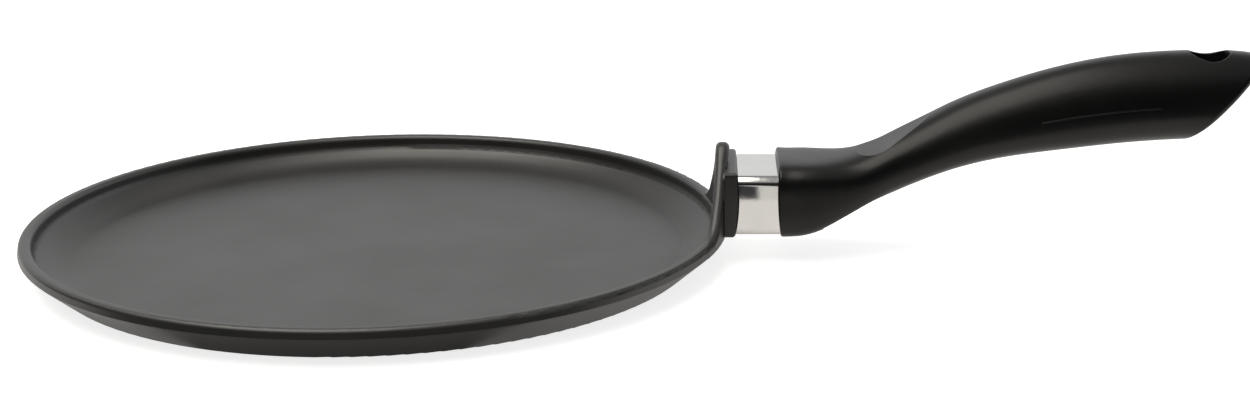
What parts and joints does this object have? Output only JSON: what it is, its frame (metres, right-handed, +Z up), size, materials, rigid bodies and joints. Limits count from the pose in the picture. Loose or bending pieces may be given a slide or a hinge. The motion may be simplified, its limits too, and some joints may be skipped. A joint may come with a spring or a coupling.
{
  "type": "crepe pan",
  "caption": "Shallow round cast crepe pan with a low flared wall, an arched splash ear, a dark collar, a polished ferrule and an upswept grip with a hanging hole.",
  "frame": {"origin": "centre of the flat base, on the surface that the pan stands on", "axes": "+X from the dish's centre along the grip, +Z up out of the dish, +Y to the left seen along the grip"},
  "size_m": [0.4375, 0.25, 0.0736],
  "materials": {
    "coated_casting": "cast aluminium under a dark grey, slightly pebbled non-stick coating",
    "collar_moulding": "dark satin moulding",
    "ferrule_steel": "polished stainless steel sheet",
    "grip_moulding": "satin dark phenolic moulding",
    "insert_brass": "machined brass",
    "fastener_steel": "zinc plated steel"
  },
  "bodies": {
    "root": {"pan_body": "coated_casting", "heat_collar": "collar_moulding", "ferrule": "ferrule_steel", "handle_grip": "grip_moulding", "threaded_insert": "insert_brass", "handle_screw": "fastener_steel", "flat_washer": "fastener_steel", "lock_washer": "fastener_steel"}
  },
  "joints": []
}
